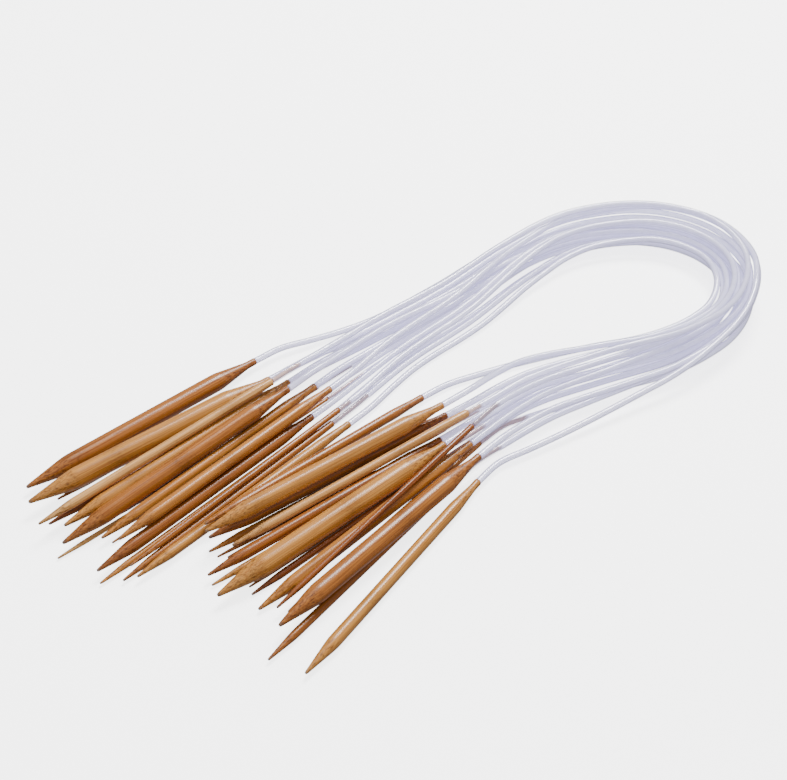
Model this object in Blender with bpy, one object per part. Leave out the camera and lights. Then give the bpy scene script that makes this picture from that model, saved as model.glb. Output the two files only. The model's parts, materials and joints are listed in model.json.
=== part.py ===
"""A set of eighteen fixed circular knitting needles, laid down as one bundle.

Each circular needle is two wooden points joined by one soft clear tube. The set lies as a hairpin: both groups
of points are at the low-X end, and the tubes run out along +X, bend round together and come back. The needles
are laid down one after another, thinnest first, and each one rests on the table or on what lies there already.
Lengths in this file are in millimetres and angles in degrees; the objects are made in metres.
"""

import math
from collections import namedtuple

import bmesh
import bpy
import numpy as np
from mathutils import Matrix, Vector

MM = 0.001

# Points
POINT_LENGTH = 130.0
TIP_RADIUS = (0.35, 0.05)  # constant part, and share of the diameter
CONE_LENGTH = (12.0, 1.2)  # constant part, and share of the diameter
STUB_RADIUS = 1.8
STUB_LENGTH = 5.0
TAPER_LENGTH = (7.0, 1.2)  # constant part, and share of the diameter
THICK = 5.0  # points from this diameter up taper down to a stub
SLIM = 3.5  # points up to this diameter keep it to their rear end
POINT_SIDES = 10
BALANCE = 0.52  # where a point's centre of mass lies, as a share of its length from the tip

# Tubes
TUBE_RADIUS = 1.6
THIN_TUBE_RADIUS = 1.35
THIN_TUBE_BELOW = 2.5  # needles under this diameter have the thinner tube
TUBE_SPACING = 16.5  # between the points of a tube's path
JOINT_GAP = 0.3  # between a point's rear face and its tube
STRAIGHT = 12.0  # a tube leaves its point straight for this far, and bends from there on
TO_BEND = POINT_LENGTH + STRAIGHT

# Resting
CLEARANCE = 0.4  # between bodies that rest on each other
STEP = 1.0  # between the balls that stand for a round body
SETTLING = 160  # rounds of letting a tube down onto what lies below it
SAG = 0.06  # how far a tube comes down in each round
LEAST_PULL = 0.1  # nearer than this to a held end, a stretch can't be lifted by its free end
REAR_END = 20.0  # the stretch of a point that its own tube may be near

# Where one end of a needle lies: its tip, the way its rear points, and its tube's lane in the bundle there.
# A needle's bend is its tube's lane at the far end, halfway round.
End = namedtuple("End", "x y heading lane")
Needle = namedtuple("Needle", "size left bend right")

NEEDLES = (
    Needle(2.0, End(-158, 20, -1, -0.8), 0.3, End(-131, -42, -4, 0.2)),
    Needle(2.25, End(-180.5, 30, -4, -0.4), -1.2, End(-130, -19.5, -9.5, -0.75)),
    Needle(2.5, End(-158, 46, -4, 1.0), 0.6, End(-127, -23, -10, -0.4)),
    Needle(2.75, End(-160, 58, -5, 1.7), 2.4, End(-128, -64, 3.5, 0.9)),
    Needle(3.25, End(-176, 5, 1, -1.5), -1.8, End(-142, -30, -8, -0.1)),
    Needle(3.5, End(-156, 32, -2, 0.2), 0.9, End(-133, -46, -4, 0.5)),
    Needle(3.75, End(-168, -1, 2, -2.0), -2.1, End(-131, -15, -10, -1.05)),
    Needle(4.0, End(-173, 46, -4, 0.7), 1.5, End(-151, -77, 6, 1.4)),
    Needle(5.5, End(-161, 23, 0, -0.2), -0.6, End(-141, -26.5, -7.5, -0.6)),
    Needle(7.0, End(-169, 39.5, -3, 0.8), 0.0, End(-128, -12, -10.5, -1.2)),
    Needle(5.0, End(-163, -5, 1, -2.7), -2.9, End(-125, -6, -4, -2.7)),
    Needle(8.0, End(-175.5, 32, -3, 0.4), -1.5, End(-130.5, -13.5, -9.5, -1.7)),
    Needle(10.0, End(-173, 60.5, -8.5, 1.5), 1.8, End(-146, -39, -5, -0.05)),
    Needle(9.0, End(-167, 71.5, -5, 2.7), 2.7, End(-139, -71, 2.5, 1.4)),
    Needle(6.5, End(-174, 9, 1, -1.1), -0.3, End(-136.5, -54.5, -1.5, 0.6)),
    Needle(3.0, End(-162, 1, 2, -1.7), -0.9, End(-132, -61.5, 3, 0.25)),
    Needle(6.0, End(-159, 12, 1, -0.6), 2.1, End(-145, -93.5, 9.5, 2.7)),
    Needle(4.5, End(-178, 45.5, -5, 1.2), 1.2, End(-123, -22, -10, -0.4)),
)

# The bundle's middle line in plan, from the left points' side round the bend, and how wide the lanes are there
Station = namedtuple("Station", "x y pitch")
BUNDLE = (
    Station(20, 23, 7.7),
    Station(64, 19, 7.0),
    Station(109, 18, 5.8),
    Station(147, 10, 4.8),
    Station(178, -14, 4.0),
    Station(190, -44, 3.7),
    Station(181, -72.5, 3.7),
    Station(152, -88, 4.1),
    Station(114, -84, 6.0),
    Station(78, -69, 8.4),
    Station(42, -55, 10.0),
)

# Woods, from pale to dark, and the points that aren't of the brown one
WOODS = {
    "pale": (0.62, 0.40, 0.20),
    "honey": (0.52, 0.28, 0.11),
    "brown": (0.40, 0.17, 0.06),
    "dark": (0.27, 0.09, 0.03),
}
WOOD_OF = {
    "point_2_25mm_a": "pale",
    "point_3mm_b": "dark",
    "point_3_25mm_b": "honey",
    "point_3_5mm_b": "dark",
    "point_4mm_a": "dark",
    "point_4_5mm_a": "pale",
    "point_4_5mm_b": "pale",
    "point_5mm_a": "honey",
    "point_5_5mm_a": "honey",
    "point_6mm_b": "honey",
    "point_6_5mm_a": "dark",
    "point_7mm_a": "honey",
    "point_7mm_b": "dark",
    "point_8mm_b": "honey",
    "point_10mm_a": "honey",
    "point_10mm_b": "honey",
}


def label(size):
    """A diameter as part of a name, such as 2_25mm."""
    return f"{size:g}mm".replace(".", "_")


def along(heading):
    """The unit vector in plan from a point's tip to its rear."""
    turn = math.radians(heading)
    return np.array([math.cos(turn), math.sin(turn)])


# ---------------------------------------------------------------- shapes of one point and one tube


def point_profile(size):
    """A point's outline as (distance from the tip, radius): blunt tip, cone, straight body, taper and stub."""
    radius = size / 2
    tip = TIP_RADIUS[0] + TIP_RADIUS[1] * size
    cone = CONE_LENGTH[0] + CONE_LENGTH[1] * size
    front = [(0.0, tip), (0.8 * cone, tip + 0.84 * (radius - tip)), (cone, radius)]
    if size >= THICK:
        shoulder = POINT_LENGTH - STUB_LENGTH
        taper = TAPER_LENGTH[0] + TAPER_LENGTH[1] * size
        waist = STUB_RADIUS + 0.45 * (radius - STUB_RADIUS)
        rear = [(shoulder - taper, radius), (shoulder - 0.45 * taper, waist), (shoulder, STUB_RADIUS)]
        return front + rear + [(POINT_LENGTH, STUB_RADIUS)]
    if size > SLIM:
        return front + [(POINT_LENGTH - 10.0, radius), (POINT_LENGTH, 0.86 * radius)]
    return front + [(POINT_LENGTH, radius)]


def tube_radius(size):
    return TUBE_RADIUS if size >= THIN_TUBE_BELOW else THIN_TUBE_RADIUS


# ---------------------------------------------------------------- laying the needles down


class Pile:
    """What lies on the table so far: each round body as closely spaced balls along its axis."""

    def __init__(self):
        self.centres = np.empty((0, 3))
        self.radii = np.empty(0)
        self.sizes = np.empty(0)

    def add(self, centres, radii, sizes):
        """Add balls. Those of a point's rear end carry its needle's size, because its tube meets them."""
        self.centres = np.vstack([self.centres, centres])
        self.radii = np.concatenate([self.radii, radii])
        self.sizes = np.concatenate([self.sizes, sizes])

    def lowest(self, plan, radii, table, skipped=None):
        """How low balls of these radii can lie at these places in plan; table is their height on the table, and
        the rear ends of the points of the skipped size are left out."""
        heights = np.array(table, float)
        kept = self.sizes != skipped
        all_centres, all_radii = self.centres[kept], self.radii[kept]
        for start in range(0, len(all_radii), 4000):
            centres = all_centres[start : start + 4000]
            reach = radii[:, None] + all_radii[None, start : start + 4000] + CLEARANCE
            apart = ((plan[:, None] - centres[None, :, :2]) ** 2).sum(2)
            over = reach**2 - apart
            top = np.where(over > 0, centres[None, :, 2] + np.sqrt(np.maximum(over, 0)), -np.inf)
            heights = np.maximum(heights, top.max(1))
        return heights


def resting_line(places, lowest, balance):
    """(height at 0, slope) of a straight body let down onto the heights lowest at places: it comes to rest on
    the two supports on either side of its centre of mass, which are neighbours on the upper hull."""
    hull = []
    for place, height in zip(places, lowest):
        while len(hull) > 1:
            (s0, h0), (s1, h1) = hull[-2:]
            if (h1 - h0) * (place - s0) > (height - h0) * (s1 - s0):
                break
            hull.pop()
        hull.append((place, height))
    for (s0, h0), (s1, h1) in zip(hull, hull[1:]):
        if s1 >= balance:
            slope = (h1 - h0) / (s1 - s0)
            return h0 - slope * s0, slope
    return hull[-1][1], 0.0


def lay_point(pile, end, size):
    """Let a point down where its end says, with the start of its tube, and return (height at tip, slope)."""
    profile = point_profile(size)
    wood = np.arange(0, POINT_LENGTH + STEP / 2, STEP)
    tube = np.arange(POINT_LENGTH + STEP, TO_BEND + STEP / 2, STEP)
    places = np.concatenate([wood, tube])
    wood_radii = np.interp(wood, *zip(*profile))
    radii = np.concatenate([wood_radii, np.full(len(tube), tube_radius(size))])
    table = radii.copy()
    table[: len(wood)] *= math.cos(math.pi / POINT_SIDES)  # a flat side faces down
    plan = np.array([end.x, end.y]) + places[:, None] * along(end.heading)
    lowest = pile.lowest(plan, radii, table)
    height, slope = resting_line(places, lowest, BALANCE * POINT_LENGTH)
    centres = np.column_stack([plan, height + slope * places])
    rear_end = wood > POINT_LENGTH - REAR_END
    pile.add(centres[: len(wood)], wood_radii, np.where(rear_end, size, 0.0))
    return height, slope


def smooth_curve(corners, spacing):
    """Evenly spaced places on a Catmull-Rom curve through corners."""
    before, after = 2 * corners[0] - corners[1], 2 * corners[-1] - corners[-2]
    knots = np.vstack([before, corners, after])
    fine = []
    for a, b, c, d in zip(knots, knots[1:], knots[2:], knots[3:]):
        for t in np.linspace(0, 1, 24, endpoint=False):
            curve = 2 * b + (c - a) * t + (2 * a - 5 * b + 4 * c - d) * t**2 + (3 * b - 3 * c + d - a) * t**3
            fine.append(curve / 2)
    fine = np.array(fine + [corners[-1]])
    run = np.concatenate([[0], np.cumsum(np.linalg.norm(np.diff(fine, axis=0), axis=1))])
    stops = np.linspace(0, run[-1], round(run[-1] / spacing) + 1)
    return np.column_stack([np.interp(stops, run, fine[:, k]) for k in range(2)])


def tube_plan(needle):
    """A tube's route in plan: straight out of the left point, along its lane of the bundle, and into the right
    point. Its lane changes smoothly from the left end's to the bend's and on to the right end's."""
    middle = np.array([(s.x, s.y) for s in BUNDLE], float)
    ahead = np.gradient(middle, axis=0)
    ahead /= np.linalg.norm(ahead, axis=1)[:, None]
    outward = np.column_stack([-ahead[:, 1], ahead[:, 0]])
    share = 1 - abs(np.linspace(-1, 1, len(BUNDLE)))
    share = share * share * (3 - 2 * share)
    nearer = np.where(np.arange(len(BUNDLE)) < len(BUNDLE) / 2, needle.left.lane, needle.right.lane)
    lane = nearer + (needle.bend - nearer) * share
    offset = lane * np.array([s.pitch for s in BUNDLE])
    lanes = middle + offset[:, None] * outward
    ends = []
    for end in (needle.left, needle.right):
        tip, way = np.array([end.x, end.y]), along(end.heading)
        out = [POINT_LENGTH + JOINT_GAP, POINT_LENGTH + STRAIGHT / 2, TO_BEND]
        ends.append([tip + distance * way for distance in out])
    return smooth_curve(np.array(ends[0] + list(lanes) + ends[1][::-1]), TUBE_SPACING)


def lay_tube(pile, needle, left, right):
    """Let a tube down onto the pile and return its path; its end stretches follow the two points' axes."""
    plan = tube_plan(needle)
    radius = tube_radius(needle.size)
    tips = [np.array([end.x, end.y]) for end in (needle.left, needle.right)]
    heights = np.full(len(plan), radius)
    fixed = np.zeros(len(plan), bool)
    for tip, (height, slope), nodes in zip(tips, (left, right), ((0, 1), (-1, -2))):
        for node in nodes:
            heights[node] = max(height + slope * np.linalg.norm(plan[node] - tip), radius)
            fixed[node] = True
    share = np.arange(0, 1, STEP / TUBE_SPACING)
    between = plan[:-1, None] * (1 - share[None, :, None]) + plan[1:, None] * share[None, :, None]
    radii = np.full(between[..., 0].size, radius)
    lowest = pile.lowest(between.reshape(-1, 2), radii, radii, needle.size).reshape(len(plan) - 1, -1)
    free = ~fixed
    for turn in range(2 * SETTLING):
        if turn < SETTLING:
            level = (heights[:-2] + heights[2:]) / 2
            inner = heights[1:-1] + 0.4 * (level - heights[1:-1]) - SAG
            heights[1:-1] = np.where(free[1:-1], np.maximum(inner, radius), heights[1:-1])
        lift_clear(heights, free, lowest, share)
    centres = between.copy()
    levels = heights[:-1, None] * (1 - share) + heights[1:, None] * share
    balls = np.concatenate([centres, levels[..., None]], axis=2).reshape(-1, 3)
    pile.add(balls, radii, np.zeros(len(balls)))
    return np.column_stack([plan, heights])


def lift_clear(heights, free, lowest, share):
    """Raise the free ends of each stretch just enough for the stretch to clear what lies below it."""
    for k in range(len(heights) - 1):
        pull = np.array([1 - share, share]) * free[k : k + 2, None]
        total = (pull**2).sum(0)
        gap = lowest[k] - (heights[k] * (1 - share) + heights[k + 1] * share)
        gap[total < LEAST_PULL] = 0
        worst = int(gap.argmax())
        if gap[worst] > 0:
            heights[k : k + 2] += gap[worst] * pull[:, worst] / total[worst]


def lay_needles():
    """Lay every needle down in order, and return [(needle, left line, right line, tube path)]."""
    pile = Pile()
    laid = []
    for needle in NEEDLES:
        left = lay_point(pile, needle.left, needle.size)
        right = lay_point(pile, needle.right, needle.size)
        laid.append((needle, left, right, lay_tube(pile, needle, left, right)))
    return laid


# ---------------------------------------------------------------- objects


def material(name, colour, roughness, alpha=1.0):
    made = bpy.data.materials.new(name)
    made.use_nodes = True
    shader = made.node_tree.nodes["Principled BSDF"]
    shader.inputs["Base Color"].default_value = (*colour, 1.0)
    shader.inputs["Roughness"].default_value = roughness
    shader.inputs["Metallic"].default_value = 0.0
    shader.inputs["Alpha"].default_value = alpha
    return made


def add_object(name, data, finish):
    made = bpy.data.objects.new(name, data)
    made.data.materials.append(finish)
    bpy.context.scene.collection.objects.link(made)
    return made


def point_mesh(name, size):
    """A point turned about its own axis, which is X, with its tip at -X. Its origin lies beyond its rear face,
    where its tube starts to bend, because both its turning and its bending axis pass there."""
    shape = bmesh.new()
    rings = []
    for place, radius in point_profile(size):
        ring = []
        for side in range(POINT_SIDES):
            turn = 2 * math.pi * (side + 0.5) / POINT_SIDES - math.pi / 2
            where = Vector((place - TO_BEND, radius * math.cos(turn), radius * math.sin(turn)))
            ring.append(shape.verts.new(where * MM))
        rings.append(ring)
    for near, far in zip(rings, rings[1:]):
        for side in range(POINT_SIDES):
            after = (side + 1) % POINT_SIDES
            shape.faces.new((near[side], near[after], far[after], far[side]))
    shape.faces.new(rings[0])
    shape.faces.new(rings[-1])
    bmesh.ops.recalc_face_normals(shape, faces=shape.faces)
    mesh = bpy.data.meshes.new(name)
    shape.to_mesh(mesh)
    shape.free()
    mesh.shade_smooth()
    mesh.set_sharp_from_angle(angle=math.radians(40))
    return mesh


def make_point(name, needle, end, line):
    """A wooden point, laid along its line."""
    height, slope = line
    rise = math.atan(slope)
    reach = TO_BEND * math.cos(rise)
    x, y = np.array([end.x, end.y]) + reach * along(end.heading)
    finish = material(f"wood_{name}", WOODS[WOOD_OF.get(name, "brown")], 0.35)
    point = add_object(name, point_mesh(name, needle.size), finish)
    turn = Matrix.Rotation(math.radians(end.heading), 4, "Z") @ Matrix.Rotation(-rise, 4, "Y")
    point.matrix_world = Matrix.Translation(Vector((x, y, height + slope * reach)) * MM) @ turn
    return point


def make_tube(name, needle, path):
    """A soft tube as a round bar with closed ends along its path."""
    curve = bpy.data.curves.new(name, "CURVE")
    curve.dimensions = "3D"
    curve.bevel_depth = tube_radius(needle.size) * MM
    curve.bevel_resolution = 2
    curve.use_fill_caps = True
    spline = curve.splines.new("POLY")
    spline.points.add(len(path) - 1)
    for knot, place in zip(spline.points, path):
        knot.co = (*(Vector(place) * MM), 1.0)
    return add_object(name, curve, material(f"clear_{name}", (0.80, 0.80, 0.88), 0.15, 0.4))


def centre_on_points(points, tubes):
    """Move everything so that the origin is under the middle of the points, on the table."""
    corners = []
    for point in points:
        corners += [point.matrix_world @ vertex.co for vertex in point.data.vertices]
    low = Vector(min(c[k] for c in corners) for k in range(3))
    high = Vector(max(c[k] for c in corners) for k in range(3))
    shift = Matrix.Translation(Vector((-(low.x + high.x) / 2, -(low.y + high.y) / 2, -low.z)))
    for made in points + tubes:
        made.matrix_world = shift @ made.matrix_world


def build():
    for old in list(bpy.data.objects):
        bpy.data.objects.remove(old, do_unlink=True)
    points, tubes = [], []
    for needle, left, right, path in lay_needles():
        size = label(needle.size)
        points.append(make_point(f"point_{size}_a", needle, needle.left, left))
        points.append(make_point(f"point_{size}_b", needle, needle.right, right))
        tubes.append(make_tube(f"tube_{size}", needle, path))
    bpy.context.view_layer.update()
    centre_on_points(points, tubes)


build()
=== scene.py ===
"""The looks of a bundled set of eighteen circular knitting needles.

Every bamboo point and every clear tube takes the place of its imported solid, and the wood of a thin point
shows as a spigot inside its tube. A point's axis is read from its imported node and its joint, and a tube's
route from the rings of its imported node, so nothing here sets where a needle lies. Lengths are in metres.
"""

import json
import math
import random
from collections import namedtuple

import bmesh
import bpy
import numpy as np
from mathutils import Matrix, Vector


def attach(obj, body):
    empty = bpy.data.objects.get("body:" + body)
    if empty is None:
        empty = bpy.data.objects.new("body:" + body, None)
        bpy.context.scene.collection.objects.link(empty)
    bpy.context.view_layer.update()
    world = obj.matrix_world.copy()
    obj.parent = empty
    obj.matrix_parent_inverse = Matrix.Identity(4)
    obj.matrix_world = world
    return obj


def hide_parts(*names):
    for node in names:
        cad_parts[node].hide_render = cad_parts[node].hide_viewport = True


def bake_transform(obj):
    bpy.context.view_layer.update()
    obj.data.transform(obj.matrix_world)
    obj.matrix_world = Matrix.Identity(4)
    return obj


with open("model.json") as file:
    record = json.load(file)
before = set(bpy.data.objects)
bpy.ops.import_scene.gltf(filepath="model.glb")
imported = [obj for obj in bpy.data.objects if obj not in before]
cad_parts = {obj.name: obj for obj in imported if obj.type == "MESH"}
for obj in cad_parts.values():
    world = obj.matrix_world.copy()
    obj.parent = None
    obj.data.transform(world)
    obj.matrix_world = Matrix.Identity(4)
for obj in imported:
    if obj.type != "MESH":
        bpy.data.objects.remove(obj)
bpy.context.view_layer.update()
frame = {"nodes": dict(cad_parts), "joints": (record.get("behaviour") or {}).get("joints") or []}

MM = 0.001

# Camera: it looks down across the points, from the side of the group named b
AIM = Vector((0.0877, 0.0101, 0.0))
DISTANCE = 0.754
ELEVATION = math.radians(45)
TURN = math.radians(45)  # its look direction in plan, from +X
LENS = 70

# Points
STRAIGHT = 12.0 * MM  # from a point's rear face to its joint
POINT_LENGTH = 130.0 * MM
TIP_RADIUS = (0.35 * MM, 0.05)  # constant part, and share of the diameter
CONE_LENGTH = (12.0 * MM, 1.2)  # constant part, and share of the diameter
STUB_RADIUS = 1.8 * MM
STUB_LENGTH = 5.0 * MM
TAPER_LENGTH = (7.0 * MM, 1.2)  # constant part, and share of the diameter
THICK = 5.0 * MM  # points from this diameter up taper down to a stub
SLIM = 3.5 * MM  # points up to this diameter keep it to their rear end
SIDES = 40

# Tubes, and the wooden spigots inside their ends
TUBE_RADIUS = 1.6 * MM
THIN_TUBE_RADIUS = 1.35 * MM
THIN_TUBE_BELOW = 2.5 * MM  # needles under this diameter have the thinner tube
TUBE_SIDES = 20
SPIGOT_SHARE = 0.68  # of the tube's radius
SPIGOT_LENGTHS = (16.0 * MM, 30.0 * MM)  # shortest and longest, on points thinner than THICK
SHORT_SPIGOT = 8.0 * MM  # wherever the tube bends with its point
RING_SPACING = 3.0 * MM

# Bamboo tones, from pale to dark: (fibre, ground) colours
TONES = {
    "tan": ((0.44, 0.19, 0.045), (0.70, 0.38, 0.13)),
    "honey": ((0.36, 0.13, 0.020), (0.58, 0.265, 0.055)),
    "amber": ((0.31, 0.10, 0.014), (0.52, 0.21, 0.038)),
    "brown": ((0.22, 0.062, 0.008), (0.42, 0.15, 0.025)),
    "chestnut": ((0.18, 0.046, 0.007), (0.36, 0.12, 0.019)),
    "dark": ((0.14, 0.033, 0.006), (0.30, 0.088, 0.014)),
}

WORN = (0.16, 0.12, 0.09)  # the greyish end grain of a tip

# One needle: its points' tones, and where their bamboo has a node, as a share of the length from the tip
Needle = namedtuple("Needle", "size tone_a tone_b node_a node_b")
NEEDLES = (
    Needle("2mm", "amber", "brown", 0.6, 0.3),
    Needle("2_25mm", "tan", "brown", 0.7, 0.5),
    Needle("2_5mm", "brown", "chestnut", 0.4, 0.6),
    Needle("2_75mm", "brown", "amber", 0.3, 0.2),
    Needle("3mm", "brown", "dark", 0.5, 0.55),
    Needle("3_25mm", "amber", "honey", 0.35, 0.6),
    Needle("3_5mm", "chestnut", "dark", 0.6, 0.4),
    Needle("3_75mm", "brown", "amber", 0.45, 0.3),
    Needle("4mm", "dark", "brown", 0.5, 0.45),
    Needle("4_5mm", "tan", "tan", 0.8, 0.7),
    Needle("5mm", "honey", "brown", 0.3, 0.5),
    Needle("5_5mm", "amber", "chestnut", 0.65, 0.5),
    Needle("6mm", "amber", "honey", 0.5, 0.35),
    Needle("6_5mm", "chestnut", "amber", 0.55, 0.25),
    Needle("7mm", "honey", "chestnut", 0.3, 0.62),
    Needle("8mm", "brown", "honey", 0.5, 0.2),
    Needle("9mm", "brown", "brown", 0.2, 0.6),
    Needle("10mm", "honey", "honey", 0.34, 0.55),
)


def diameter_of(size):
    """A diameter in metres from its part of a name, such as 2_25mm."""
    return float(size[:-2].replace("_", ".")) * MM


def joint_of(body):
    return next(joint for joint in frame["joints"] if joint["child"] == body)


def bends(body):
    """Whether this point's joint bends its tube instead of twisting it."""
    return not joint_of(body)["name"].startswith("twist")


def add_piece(mesh):
    piece = bpy.data.objects.new(mesh.name, mesh)
    bpy.context.collection.objects.link(piece)
    return piece


def corners_of(node):
    return np.array([vertex.co for vertex in frame["nodes"][node].data.vertices], float)


# ---------------------------------------------------------------- camera, light and floor


def make_camera():
    level = math.cos(ELEVATION)
    ahead = Vector((math.cos(TURN) * level, math.sin(TURN) * level, -math.sin(ELEVATION)))
    data = bpy.data.cameras.new("camera")
    data.lens = LENS
    data.sensor_width = 36
    camera = bpy.data.objects.new("camera", data)
    camera.location = AIM - DISTANCE * ahead
    camera.rotation_euler = ahead.to_track_quat("-Z", "Y").to_euler()
    bpy.context.collection.objects.link(camera)
    bpy.context.scene.camera = camera


def add_light(name, toward, distance, side, power):
    """A square soft light that shines on the bundle from the direction toward."""
    data = bpy.data.lights.new(name, "AREA")
    data.size = side
    data.energy = power
    light = bpy.data.objects.new(name, data)
    where = Vector(toward).normalized()
    light.location = AIM + where * distance
    light.rotation_euler = (-where).to_track_quat("-Z", "Y").to_euler()
    bpy.context.collection.objects.link(light)


def make_studio():
    add_light("key", (0.55, 0.22, 0.95), 1.3, 0.5, 32)
    add_light("fill", (-0.9, -0.4, 0.9), 1.5, 1.2, 6)
    world = bpy.data.worlds.new("studio")
    world.use_nodes = True
    world.node_tree.nodes["Background"].inputs["Color"].default_value = (0.95, 0.96, 1.0, 1)
    world.node_tree.nodes["Background"].inputs["Strength"].default_value = 0.45
    bpy.context.scene.world = world
    shape = bmesh.new()
    bmesh.ops.create_grid(shape, x_segments=1, y_segments=1, size=60)
    mesh = bpy.data.meshes.new("floor")
    shape.to_mesh(mesh)
    shape.free()
    floor = bpy.data.objects.new("floor", mesh)
    floor.location = AIM + Vector((0, 0, -0.3 * MM))
    bpy.context.collection.objects.link(floor)
    made = bpy.data.materials.new("floor")
    made.use_nodes = True
    shader = made.node_tree.nodes["Principled BSDF"]
    shader.inputs["Base Color"].default_value = (0.9, 0.9, 0.9, 1)
    shader.inputs["Roughness"].default_value = 0.9
    shader.inputs["Specular IOR Level"].default_value = 0.1
    shader.inputs["Emission Color"].default_value = (1, 1, 1, 1)
    shader.inputs["Emission Strength"].default_value = 3.4
    mesh.materials.append(made)
    floor.visible_diffuse = False
    floor.visible_glossy = False


# ---------------------------------------------------------------- materials


class Nodes:
    """Short ways to add nodes to one material."""

    def __init__(self, name):
        self.material = bpy.data.materials.new(name)
        self.material.use_nodes = True
        self.tree = self.material.node_tree
        self.shader = self.tree.nodes["Principled BSDF"]

    def add(self, kind, settings=None, **sockets):
        """A node with these settings, whose sockets take values or other nodes' outputs."""
        node = self.tree.nodes.new(kind)
        for name, value in (settings or {}).items():
            setattr(node, name, value)
        for name, value in sockets.items():
            self.put(node.inputs[name.replace("_", " ")], value)
        return node

    def put(self, socket, value):
        if isinstance(value, bpy.types.NodeSocket):
            self.tree.links.new(value, socket)
        else:
            socket.default_value = value

    def maths(self, operation, *values):
        node = self.tree.nodes.new("ShaderNodeMath")
        node.operation = operation
        for socket, value in zip(node.inputs, values):
            self.put(socket, value)
        return node.outputs[0]

    def scaled(self, vector, factors):
        node = self.tree.nodes.new("ShaderNodeVectorMath")
        node.operation = "MULTIPLY"
        self.put(node.inputs[0], vector)
        self.put(node.inputs[1], factors)
        return node.outputs[0]

    def plus(self, vector, other):
        node = self.tree.nodes.new("ShaderNodeVectorMath")
        node.operation = "ADD"
        self.put(node.inputs[0], vector)
        self.put(node.inputs[1], other)
        return node.outputs[0]

    def noise(self, vector, scale, detail=2.0, rough=0.5):
        node = self.add("ShaderNodeTexNoise", Vector=vector, Scale=scale, Detail=detail, Roughness=rough)
        return node.outputs["Fac"]

    def ramp(self, value, *stops):
        """A colour ramp through (place, grey level or colour) stops."""
        node = self.tree.nodes.new("ShaderNodeValToRGB")
        ramp = node.color_ramp
        while len(ramp.elements) < len(stops):
            ramp.elements.new(0.5)
        for element, (place, colour) in zip(ramp.elements, stops):
            element.position = place
            element.color = (*colour, 1) if isinstance(colour, tuple) else (colour, colour, colour, 1)
        self.put(node.inputs["Fac"], value)
        return node.outputs["Color"]

    def mix(self, share, one, other, blend="MIX"):
        node = self.tree.nodes.new("ShaderNodeMix")
        node.data_type = "RGBA"
        node.blend_type = blend
        self.put(node.inputs[0], share)
        for socket, value in ((node.inputs[6], one), (node.inputs[7], other)):
            self.put(socket, (*value, 1) if isinstance(value, tuple) else value)
        return node.outputs[2]


def bamboo(name, tone, node_at, seed):
    """Lacquered bamboo whose fibres run along the piece's X axis. They show as long streaks on the straight
    body and as short dark dashes where a cone or taper cuts across them. The bamboo's own node is at X
    node_at."""
    fibre, ground = TONES[tone]
    luck = random.Random(seed)
    made = Nodes(name)
    place = made.add("ShaderNodeTexCoord").outputs["Object"]
    shift = tuple(luck.uniform(-1, 1) for _ in range(3))
    moved = made.plus(place, shift)
    place_x = made.add("ShaderNodeSeparateXYZ", Vector=place).outputs["X"]
    from_node = made.maths("DIVIDE", made.maths("SUBTRACT", place_x, node_at), 5 * MM)
    near_node = made.maths("POWER", 0.5, made.maths("MULTIPLY", from_node, from_node))
    waves = made.scaled(moved, (60, 500, 500))
    wavy = made.add("ShaderNodeTexNoise", Vector=waves, Scale=1.0, Detail=1.0).outputs["Color"]
    along = made.plus(moved, made.scaled(wavy, (0, 0.5 * MM, 0.5 * MM)))

    streaks = made.noise(made.scaled(along, (22, 2600, 2600)), 1.0, 3.0, 0.6)
    broad = made.noise(made.scaled(along, (14, 420, 420)), 1.0, 2.0)
    cells = made.scaled(along, (9, 1500, 1500))
    bundles = made.add("ShaderNodeTexVoronoi", Vector=cells, Scale=1.0, Randomness=1.0)
    spots = made.ramp(bundles.outputs["Distance"], (0.16, 1.0), (0.34, 0.0))
    cut = made.add("ShaderNodeAttribute", {"attribute_name": "cut"}).outputs["Fac"]
    speck = made.noise(made.scaled(along, (420, 1300, 1300)), 1.0, 2.0, 0.6)
    specks = made.ramp(speck, (0.5, 0.0), (0.66, 1.0))

    colour = made.mix(made.ramp(streaks, (0.36, 0.0), (0.60, 1.0)), fibre, ground)
    tint = made.ramp(broad, (0.3, (0.86, 0.83, 0.78)), (0.7, (1.1, 1.1, 1.1)))
    colour = made.mix(1.0, colour, tint, "MULTIPLY")
    deep = tuple(0.42 * level for level in fibre)
    colour = made.mix(made.maths("MULTIPLY", spots, 0.4), colour, deep)
    rough_cut = made.maths("MULTIPLY", made.maths("MULTIPLY", specks, cut), 0.85)
    colour = made.mix(rough_cut, colour, deep)
    at_node = made.maths("MULTIPLY", made.maths("MULTIPLY_ADD", specks, 0.6, 0.4), near_node)
    colour = made.mix(made.maths("MULTIPLY", at_node, 0.6), colour, deep)
    past_tip = made.maths("DIVIDE", made.maths("ADD", place_x, POINT_LENGTH + STRAIGHT), 3 * MM)
    at_tip = made.ramp(past_tip, (0.15, 1.0), (0.75, 0.0))
    colour = made.mix(made.maths("MULTIPLY", at_tip, 0.6), colour, WORN)
    made.put(made.shader.inputs["Base Color"], colour)

    rough = made.maths("ADD", made.maths("MULTIPLY", streaks, 0.10), made.maths("MULTIPLY", cut, 0.08))
    made.put(made.shader.inputs["Roughness"], made.maths("ADD", rough, 0.26))
    made.shader.inputs["Coat Weight"].default_value = 0.15
    made.shader.inputs["Coat Roughness"].default_value = 0.18
    made.shader.inputs["Specular IOR Level"].default_value = 0.4
    relief = made.maths("ADD", streaks, made.maths("MULTIPLY", made.maths("MULTIPLY", specks, cut), -0.8))
    bump = made.add("ShaderNodeBump", Strength=0.3, Distance=0.05 * MM, Height=relief)
    made.put(made.shader.inputs["Normal"], bump.outputs["Normal"])
    return made.material


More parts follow.
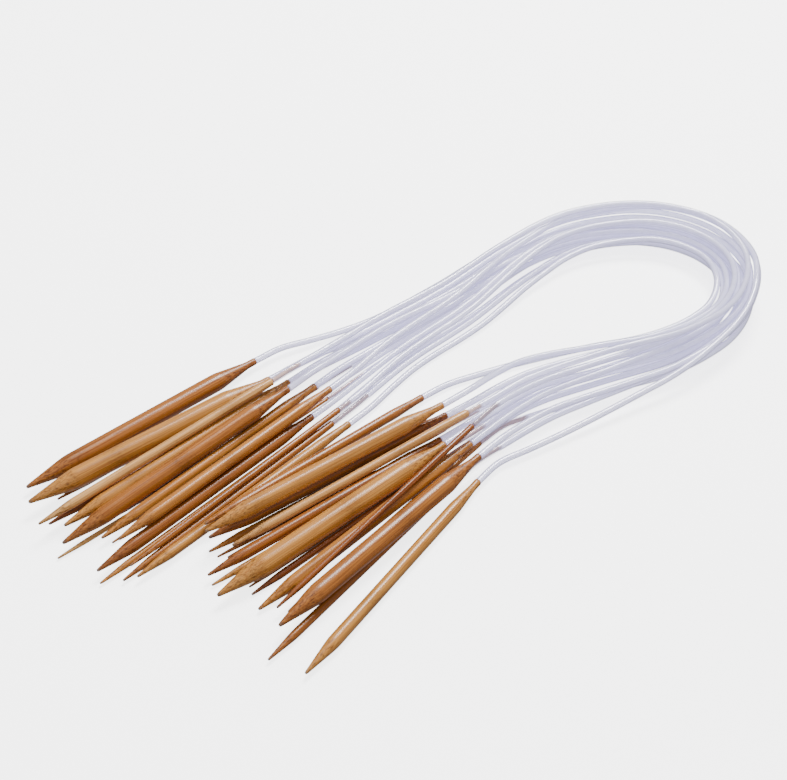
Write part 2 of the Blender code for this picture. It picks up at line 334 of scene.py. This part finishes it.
def clear_plastic():
    """Soft clear PVC with a lavender-grey tint, clearer where its filled attribute says that wood lies inside.
    Its colour has painted shade, pale where it faces the eye and darker towards its edges, and it has a
    painted lavender glow."""
    made = Nodes("clear_tube")
    place = made.add("ShaderNodeTexCoord").outputs["Object"]
    haze = made.noise(made.scaled(place, (260, 260, 260)), 1.0, 2.0)
    facing = made.add("ShaderNodeLayerWeight", Blend=0.5).outputs["Facing"]
    # Painted shade: the tube's colour darkens from where it faces the eye to its edges, in place of a clear
    # tube's refraction.
    body = made.ramp(facing, (0.0, (0.66, 0.65, 0.76)), (0.5, (0.56, 0.55, 0.66)), (0.9, (0.30, 0.29, 0.39)))
    cloud = made.ramp(haze, (0.3, (0.90, 0.90, 0.93)), (0.7, (1.0, 1.0, 1.0)))
    made.put(made.shader.inputs["Base Color"], made.mix(1.0, body, cloud, "MULTIPLY"))
    # Painted glow: a lavender emission, brighter where the tube faces the eye and dimmer at its edges, that
    # lifts its shade.
    painted_glow = made.ramp(facing, (0.2, (0.52, 0.50, 0.76)), (0.9, (0.22, 0.21, 0.36)))
    made.put(made.shader.inputs["Emission Color"], painted_glow)
    made.shader.inputs["Emission Strength"].default_value = 0.9  # painted glow, standing in for light that reaches it through the others; it lifts the tube's shade
    cover = made.ramp(facing, (0.0, 0.72), (0.4, 0.82), (0.75, 0.92), (1.0, 0.97))
    filled = made.add("ShaderNodeAttribute", {"attribute_name": "filled"}).outputs["Fac"]
    clearer = made.maths("MULTIPLY_ADD", filled, -0.6, 1.0)
    milky = made.maths("MULTIPLY_ADD", haze, 0.12, -0.06)
    made.put(made.shader.inputs["Alpha"], made.maths("MULTIPLY", made.maths("ADD", cover, milky), clearer))
    made.put(made.shader.inputs["Roughness"], made.maths("MULTIPLY_ADD", haze, 0.06, 0.06))
    made.shader.inputs["IOR"].default_value = 1.53
    made.shader.inputs["Specular IOR Level"].default_value = 0.8
    made.shader.inputs["Coat Weight"].default_value = 0.7
    made.shader.inputs["Coat Roughness"].default_value = 0.05
    ripple = made.noise(made.scaled(place, (120, 120, 120)), 1.0, 1.0)
    bump = made.add("ShaderNodeBump", Strength=0.3, Distance=0.2 * MM, Height=ripple)
    made.put(made.shader.inputs["Normal"], bump.outputs["Normal"])
    return made.material


# ---------------------------------------------------------------- points


def smooth_along(places, values, reach):
    """The values with their corners rounded off over reach, which never lifts a convex corner."""
    fine = np.arange(places[0] - reach, places[-1] + reach, 0.1 * MM)
    level = np.interp(fine, places, values)
    width = max(int(reach / (0.1 * MM)), 1)
    kernel = np.hanning(width + 2)[1:-1]
    padded = np.pad(level, width // 2, mode="edge")
    level = np.convolve(padded, kernel / kernel.sum(), mode="valid")[: len(fine)]
    return fine, level


def point_profile(diameter):
    """A point's outline: (distances from the tip, radii, how far each place cuts across the fibres)."""
    radius = diameter / 2
    tip = TIP_RADIUS[0] + TIP_RADIUS[1] * diameter
    cone = CONE_LENGTH[0] + CONE_LENGTH[1] * diameter
    corners = [(0, tip), (0.8 * cone, tip + 0.84 * (radius - tip)), (cone, radius)]
    shoulder = POINT_LENGTH - STUB_LENGTH
    taper = 0.0
    if diameter >= THICK:
        taper = TAPER_LENGTH[0] + TAPER_LENGTH[1] * diameter
        waist = STUB_RADIUS + 0.45 * (radius - STUB_RADIUS)
        corners += [(shoulder - taper, radius), (shoulder - 0.45 * taper, waist), (shoulder, STUB_RADIUS)]
        corners += [(POINT_LENGTH, STUB_RADIUS)]
    elif diameter > SLIM:
        corners += [(POINT_LENGTH - 10.0 * MM, radius), (POINT_LENGTH, 0.86 * radius)]
    else:
        corners += [(POINT_LENGTH, radius)]
    places, radii = smooth_along(*zip(*corners), 5.0 * MM)
    stops = [0.0]
    while stops[-1] < POINT_LENGTH - 0.4 * MM:
        here = stops[-1]
        busy = here < cone + 4 * MM or here > shoulder - taper - 4 * MM
        stops.append(here + (1.0 * MM if busy else 4.0 * MM))
    stops = [stop for stop in stops if stop < POINT_LENGTH - 0.4 * MM] + [POINT_LENGTH]
    stops = np.array(stops)
    level = np.minimum(np.interp(stops, places, radii), radius)
    cut = np.clip((cone + 1 * MM - stops) / (3 * MM), 0, 1)
    if taper:
        cut = np.maximum(cut, np.clip((stops - shoulder + taper) / (3 * MM), 0, 1))
    return stops, level, cut


def skinned(name, rings, layer, values):
    """A closed smooth mesh through rings of places. The named layer holds each ring's value at its
    vertices."""
    shape = bmesh.new()
    share = shape.verts.layers.float.new(layer)
    loops = []
    for ring, value in zip(rings, values):
        loop = [shape.verts.new(place) for place in ring]
        for vertex in loop:
            vertex[share] = value
        loops.append(loop)
    for near, far in zip(loops, loops[1:]):
        for side in range(len(near)):
            after = (side + 1) % len(near)
            shape.faces.new((near[side], near[after], far[after], far[side]))
    shape.faces.new(loops[0])
    shape.faces.new(loops[-1])
    bmesh.ops.recalc_face_normals(shape, faces=shape.faces)
    mesh = bpy.data.meshes.new(name)
    shape.to_mesh(mesh)
    shape.free()
    mesh.shade_smooth()
    mesh.set_sharp_from_angle(angle=math.radians(50))
    return mesh


def around(sides):
    """The turn of each side about a piece's middle line."""
    return [2 * math.pi * side / sides for side in range(sides)]


def turned(name, places, radii, cut):
    """A mesh turned about X through (place, radius), with how far each place cuts across the fibres."""
    rings = []
    for place, radius in zip(places, radii):
        ways = [(math.cos(turn), math.sin(turn)) for turn in around(SIDES)]
        rings.append([Vector((place, radius * y, radius * z)) for y, z in ways])
    return skinned(name, rings, "cut", cut)


def axis_of(body):
    """A point's place: a matrix at its joint, with X along the point towards its tube."""
    corners = corners_of(body)
    joint = np.array(joint_of(body)["pos_m"])
    away = np.linalg.norm(corners - joint, axis=1)
    tip = corners[away > away.max() - 0.2 * MM].mean(0)
    ahead = Vector(joint - tip).normalized()
    turn = ahead.to_track_quat("X", "Z").to_matrix().to_4x4()
    return Matrix.Translation(Vector(joint)) @ turn


def make_point(body, size, tone, node_share, seed):
    """One bamboo point: rounded tip, cone, straight body, S-shaped taper and stub."""
    diameter = diameter_of(size)
    places, radii, cut = point_profile(diameter)
    tip = radii[0]
    round_in = np.array([0.0, 0.12, 0.45, 1.0]) * tip
    round_off = tip * np.array([0.35, 0.68, 0.92, 1.0])
    rear = np.array([POINT_LENGTH - 0.25 * MM, POINT_LENGTH])
    kept = (places > round_in[-1]) & (places < rear[0])
    places_all = np.concatenate([round_in, places[kept], rear])
    radii_all = np.concatenate([round_off, radii[kept], [radii[-1], radii[-1] - 0.25 * MM]])
    cut_all = np.concatenate([np.ones(4), cut[kept], [cut[-1]] * 2])
    places_all = places_all - POINT_LENGTH - STRAIGHT
    made = add_piece(turned(f"bamboo_{body}", places_all, radii_all, cut_all))
    made.matrix_world = axis_of(body) @ Matrix.Rotation(random.Random(seed).uniform(0, math.tau), 4, "X")
    node_at = node_share * POINT_LENGTH - POINT_LENGTH - STRAIGHT
    made.data.materials.append(bamboo(f"bamboo_{body}", tone, node_at, seed))
    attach(made, body)
    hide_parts(body)


# ---------------------------------------------------------------- tubes


def route_of(node, start):
    """The middle of each ring of a packed tube, in order from the end nearest start."""
    corners = corners_of(node)
    apart = np.linalg.norm(corners[:, None] - corners[None], axis=2)
    middles = np.array([corners[row < 4 * MM].mean(0) for row in apart])
    left = [Vector(middle) for middle in np.unique(np.round(middles, 6), axis=0)]
    ordered = []
    here = Vector(start)
    while left:
        nearest = min(left, key=lambda place: (place - here).length)
        left.remove(nearest)
        if not ordered or (nearest - here).length > 1 * MM:
            ordered.append(nearest)
            here = nearest
    return np.array(ordered)


def run_along(route):
    """The distance from the start to each place on the route."""
    return np.concatenate([[0], np.cumsum(np.linalg.norm(np.diff(route, axis=0), axis=1))])


def smooth_route(knots):
    """Evenly spaced places on a Catmull-Rom curve through the knots."""
    ends = np.vstack([2 * knots[0] - knots[1], knots, 2 * knots[-1] - knots[-2]])
    fine = []
    for a, b, c, d in zip(ends, ends[1:], ends[2:], ends[3:]):
        for t in np.linspace(0, 1, 16, endpoint=False):
            curve = 2 * b + (c - a) * t + (2 * a - 5 * b + 4 * c - d) * t**2 + (3 * b - 3 * c + d - a) * t**3
            fine.append(curve / 2)
    fine = np.array(fine + [knots[-1]])
    run = run_along(fine)
    stops = np.linspace(0, run[-1], round(run[-1] / RING_SPACING) + 1)
    return np.column_stack([np.interp(stops, run, fine[:, k]) for k in range(3)])


def swept(name, route, radius, layer, values):
    """A round bar along the route, with a value for each place on it."""
    side_way = Vector((0, 0, 1))
    rings = []
    for k, place in enumerate(route):
        ahead = Vector(route[min(k + 1, len(route) - 1)] - route[max(k - 1, 0)]).normalized()
        across = ahead.cross(side_way).normalized()
        side_way = across.cross(ahead).normalized()
        ways = [math.cos(turn) * across + math.sin(turn) * side_way for turn in around(TUBE_SIDES)]
        rings.append([Vector(place) + radius * way for way in ways])
    return skinned(name, rings, layer, values)


def spigot_length(body, size, luck):
    """How far a point's wood shows inside its tube. A thick point holds its tube instead."""
    if diameter_of(size) >= THICK:
        return 0.0
    return SHORT_SPIGOT if bends(body) else luck.uniform(*SPIGOT_LENGTHS)


def make_tube(needle, finish, seed):
    """One clear tube, with a spigot in each end of a thin needle's."""
    node = f"tube_{needle.size}"
    radius = TUBE_RADIUS if diameter_of(needle.size) >= THIN_TUBE_BELOW else THIN_TUBE_RADIUS
    bodies = [f"point_{needle.size}_a", f"point_{needle.size}_b"]
    start = axis_of(bodies[0]) @ Vector((-STRAIGHT, 0, 0))
    route = smooth_route(route_of(node, start))
    run = run_along(route)
    luck = random.Random(seed)
    reach = [spigot_length(body, needle.size, luck) for body in bodies]
    filled = np.maximum(run < reach[0], run > run[-1] - reach[1]).astype(float)
    tube = add_piece(swept(f"clear_{node}", route, radius, "filled", filled))
    tube.data.materials.append(finish)
    bending = [body for body in bodies if bends(body)]
    if bending:
        blend_end(tube, bending[0])
    else:
        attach(tube, "tubes")
    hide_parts(node)
    tones = (needle.tone_a, needle.tone_b)
    ways = (route, route[::-1])
    for body, tone, way, length in zip(bodies, tones, ways, reach):
        if length:
            make_spigot(body, tone, way, SPIGOT_SHARE * radius, length, seed)


def make_spigot(body, tone, way, radius, length, seed):
    """The wood that shows inside a tube's end. A short one moves with its point, and a long one follows the
    tube's route."""
    straight = length == SHORT_SPIGOT
    run = run_along(way)
    stops = np.linspace(0.2 * MM, length, round(length / (2 * MM)) + 1)
    places = np.column_stack([np.interp(stops, run, way[:, k]) for k in range(3)])
    if straight:
        line = axis_of(body)
        places = np.array([line @ Vector((stop - STRAIGHT, 0, 0)) for stop in stops])
    spigot = add_piece(swept(f"spigot_{body}", places, radius, "cut", np.full(len(places), 0.3)))
    spigot.data.materials.append(bamboo(f"spigot_{body}", tone, 1.0, seed))
    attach(spigot, body if straight else "tubes")


def blend_end(tube, body):
    """Bake the tube's place into its mesh. The point's axis is read but not used, so the tube does not bend
    with the point."""
    place = axis_of(body)
    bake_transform(tube)


# ---------------------------------------------------------------- everything


def main():
    make_camera()
    make_studio()
    finish = clear_plastic()
    for number, needle in enumerate(NEEDLES):
        make_tube(needle, finish, 300 + number)
        make_point(f"point_{needle.size}_a", needle.size, needle.tone_a, needle.node_a, 100 + number)
        make_point(f"point_{needle.size}_b", needle.size, needle.tone_b, needle.node_b, 200 + number)


main()
